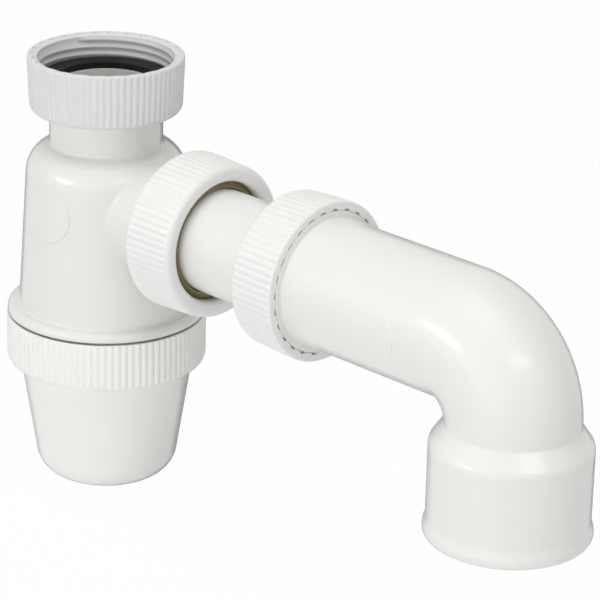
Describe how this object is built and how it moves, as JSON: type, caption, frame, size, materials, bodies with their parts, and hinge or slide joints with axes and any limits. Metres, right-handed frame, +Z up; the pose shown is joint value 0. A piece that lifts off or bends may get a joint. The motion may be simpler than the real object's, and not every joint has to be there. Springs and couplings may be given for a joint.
{
  "type": "basin trap",
  "caption": "White plastic bottle trap for a basin, with a captive inlet nut, a screw-off cup, and an outlet tube and swivelling bend held by slip nuts.",
  "frame": {"origin": "on the inlet axis, at the foot of the free thread inside the inlet nut", "axes": "+Z up along the inlet, +X along the outlet tube towards the bend"},
  "size_m": [0.2223, 0.0624, 0.1379],
  "materials": {
    "body_plastic": "satin gloss ivory white moulded plastic",
    "nut_plastic": "satin cool white moulded plastic",
    "washer_rubber": "black flat rubber",
    "seal_rubber": "dark moulded rubber",
    "ring_plastic": "olive brown friction ring"
  },
  "bodies": {
    "trap": {"trap_body": "body_plastic", "inlet_washer": "washer_rubber", "outlet_cone_seal": "seal_rubber"},
    "inlet_nut": {"inlet_nut": "nut_plastic"},
    "cup_seal": {"cup_seal": "seal_rubber"},
    "bottle_cup": {"bottle_cup": "body_plastic"},
    "outlet_slip_ring": {"outlet_slip_ring": "ring_plastic"},
    "outlet_nut": {"outlet_nut": "nut_plastic"},
    "connecting_tube": {"connecting_tube": "body_plastic"},
    "bend_cone_seal": {"bend_cone_seal": "seal_rubber"},
    "outlet_bend": {"outlet_bend": "body_plastic"},
    "bend_slip_ring": {"bend_slip_ring": "ring_plastic"},
    "bend_nut": {"bend_nut": "nut_plastic"}
  },
  "joints": [
    {"name": "inlet_nut_spin", "type": "hinge", "parent": "trap", "child": "inlet_nut", "pos_m": [0, 0, 0], "axis": [0, 0, 1], "continuous": true},
    {"name": "cup_drop", "type": "slide", "parent": "trap", "child": "cup_seal", "axis": [0, 0, -1], "range_m": [0, 0.012]},
    {"name": "cup_turn", "type": "hinge", "parent": "cup_seal", "child": "bottle_cup", "pos_m": [0, 0, -0.0769], "axis": [0, 0, -1], "range_deg": [0, 1080]},
    {"name": "outlet_ring_back", "type": "slide", "parent": "trap", "child": "outlet_slip_ring", "axis": [1, 0, 0], "range_m": [0, 0.007]},
    {"name": "outlet_nut_turn", "type": "hinge", "parent": "outlet_slip_ring", "child": "outlet_nut", "pos_m": [0.0481, 0, -0.0402], "axis": [1, 0, 0], "range_deg": [0, 1080]},
    {"name": "tube_pull", "type": "slide", "parent": "trap", "child": "connecting_tube", "axis": [1, 0, 0], "range_m": [0, 0.008]},
    {"name": "bend_reach", "type": "slide", "parent": "connecting_tube", "child": "bend_cone_seal", "axis": [1, 0, 0], "range_m": [-0.008, 0.006]},
    {"name": "bend_swivel", "type": "hinge", "parent": "bend_cone_seal", "child": "outlet_bend", "pos_m": [0.0851, 0, -0.0402], "axis": [1, 0, 0], "continuous": true},
    {"name": "bend_ring_back", "type": "slide", "parent": "outlet_bend", "child": "bend_slip_ring", "axis": [-1, 0, 0], "range_m": [0, 0.007]},
    {"name": "bend_nut_turn", "type": "hinge", "parent": "bend_slip_ring", "child": "bend_nut", "pos_m": [0.0821, 0, -0.0402], "axis": [-1, 0, 0], "range_deg": [0, 1080]}
  ],
  "couplings": [
    {"joint": "cup_drop", "follows": "cup_turn", "m_per_rad": 0.000636},
    {"joint": "outlet_ring_back", "follows": "outlet_nut_turn", "m_per_rad": 0.000367},
    {"joint": "bend_ring_back", "follows": "bend_nut_turn", "m_per_rad": 0.000367}
  ]
}
